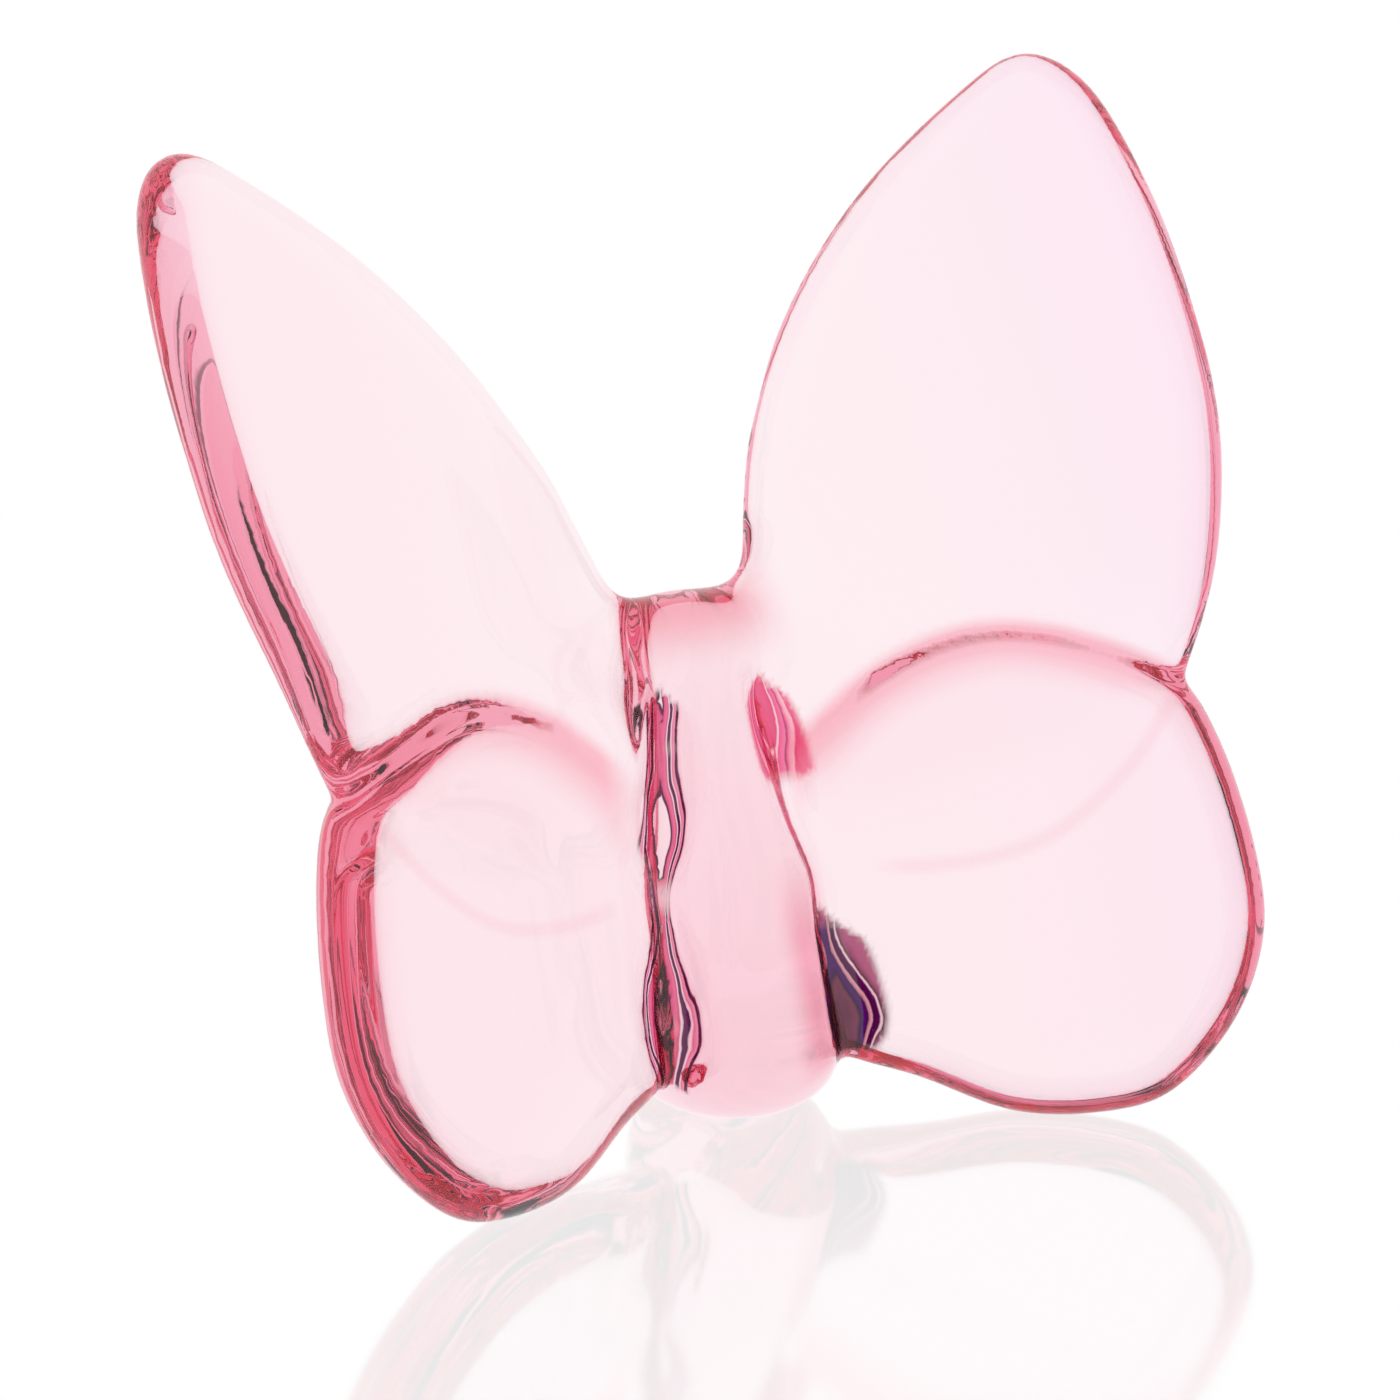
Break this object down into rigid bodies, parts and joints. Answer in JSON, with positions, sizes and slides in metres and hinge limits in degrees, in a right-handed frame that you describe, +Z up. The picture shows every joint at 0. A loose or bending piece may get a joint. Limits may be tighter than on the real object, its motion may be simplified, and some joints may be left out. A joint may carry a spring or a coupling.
{
  "type": "butterfly ornament",
  "caption": "Free-standing butterfly in clear pink crystal, with two tall forewings and two rounded hindwings spread from a leaning body that rests on its foot.",
  "frame": {"origin": "on the surface that the ornament rests on, under the middle of its bounding box", "axes": "+X to the right as one looks into the open wings, +Y to the back of the ornament, +Z up; the wings open to -Y"},
  "size_m": [0.0728, 0.0404, 0.0649],
  "materials": {
    "crystal": "fire-polished clear pink crystal"
  },
  "bodies": {
    "root": {"body": "crystal", "left_forewing": "crystal", "right_forewing": "crystal", "left_hindwing": "crystal", "right_hindwing": "crystal"}
  },
  "joints": []
}
